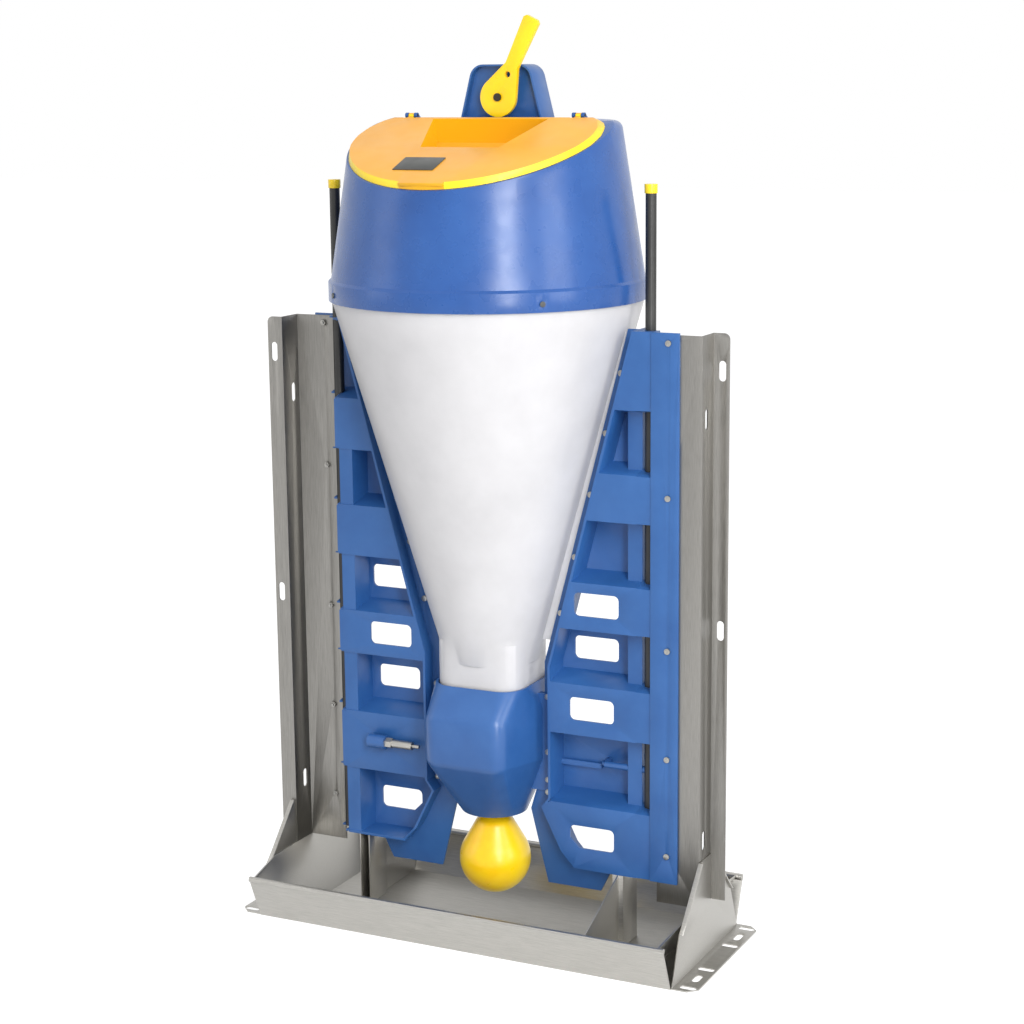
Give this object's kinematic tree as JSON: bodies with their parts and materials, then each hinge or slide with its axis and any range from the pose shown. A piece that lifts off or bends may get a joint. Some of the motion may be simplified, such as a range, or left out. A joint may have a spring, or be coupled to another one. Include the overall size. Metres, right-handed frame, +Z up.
{
  "type": "pig feeder",
  "caption": "Free-standing pig feeder: steel trough and uprights, moulded side panels, conical hopper with hinged lid, adjusting lever, swinging ball outlet and drinking nipples.",
  "frame": {"origin": "bottom centre of the bounding box, on the floor under the ball", "axes": "+X to the right along the trough, -Y to the front (the lid's grip), +Z up"},
  "size_m": [0.782, 0.4766, 1.3976],
  "materials": {
    "stainless": "brushed stainless sheet",
    "fastener_steel": "plain stainless fasteners",
    "blue_plastic": "satin moulded plastic",
    "yellow_plastic": "smooth moulded plastic",
    "lid_yellow": "satin moulded plastic",
    "hopper_white": "milky translucent plastic",
    "dark_pipe": "dark coated pipe",
    "black_plastic": "plain dark plastic",
    "seal_rubber": "black rubber"
  },
  "bodies": {
    "frame": {"trough_pan": "stainless", "end_plate_right": "stainless", "end_plate_left": "stainless", "upright_right": "stainless", "upright_left": "stainless", "divider_right": "stainless", "divider_left": "stainless", "panel_right": "blue_plastic", "panel_left": "blue_plastic", "panel_bolts": "fastener_steel", "water_pipe_right": "dark_pipe", "water_pipe_left": "dark_pipe", "pipe_cap_right": "yellow_plastic", "pipe_cap_left": "yellow_plastic", "nipple_socket_right": "blue_plastic", "nipple_socket_left": "blue_plastic", "nipple_body_right": "stainless", "nipple_body_left": "stainless", "nipple_seal_right": "seal_rubber", "nipple_seal_left": "seal_rubber", "hopper_cone": "hopper_white", "edge_bolts": "fastener_steel", "hopper_hood": "blue_plastic", "hood_screws": "black_plastic", "hinge_pins": "black_plastic", "lever_bracket": "blue_plastic", "bracket_screws": "fastener_steel", "lever_bolt": "fastener_steel", "rod_guide": "stainless", "dispenser_front": "blue_plastic", "dispenser_rear": "blue_plastic", "dispenser_screws": "fastener_steel"},
    "lid": {"lid": "lid_yellow", "lid_plate": "black_plastic"},
    "lever": {"lever": "yellow_plastic", "crank_pin": "fastener_steel"},
    "rod": {"rod_yoke": "stainless", "adjusting_rod": "stainless", "rod_clevis": "stainless"},
    "cross": {"swing_cross": "stainless"},
    "pendulum": {"pendulum_fork": "stainless", "pendulum_stem": "stainless", "pendulum_ball": "yellow_plastic"},
    "push_pin_right": {"nipple_pin_right": "stainless"},
    "push_pin_left": {"nipple_pin_left": "stainless"}
  },
  "joints": [
    {"name": "lid_hinge", "type": "hinge", "parent": "frame", "child": "lid", "pos_m": [0, 0.025, 1.253], "axis": [-1, 0, 0], "range_deg": [0, 100]},
    {"name": "lever_turn", "type": "hinge", "parent": "frame", "child": "lever", "pos_m": [0, 0.042, 1.279], "axis": [0, 1, 0], "range_deg": [-60, 10]},
    {"name": "rod_lift", "type": "slide", "parent": "frame", "child": "rod", "axis": [0, 0, 1], "range_m": [-0.01989, 0.00331]},
    {"name": "ball_swing_across", "type": "hinge", "parent": "rod", "child": "cross", "pos_m": [0, 0, 0.3], "axis": [1, 0, 0], "range_deg": [-8, 8]},
    {"name": "ball_swing_along", "type": "hinge", "parent": "cross", "child": "pendulum", "pos_m": [0, 0, 0.3], "axis": [0, 1, 0], "range_deg": [-8, 8]},
    {"name": "nipple_push_right", "type": "slide", "parent": "frame", "child": "push_pin_right", "axis": [1, 0, 0], "range_m": [0, 0.003], "stiffness_N_per_m": 400},
    {"name": "nipple_push_left", "type": "slide", "parent": "frame", "child": "push_pin_left", "axis": [-1, 0, 0], "range_m": [0, 0.003], "stiffness_N_per_m": 400}
  ],
  "couplings": [
    {"joint": "lever_turn", "follows": "rod_lift", "rad_per_m": 52.632}
  ]
}
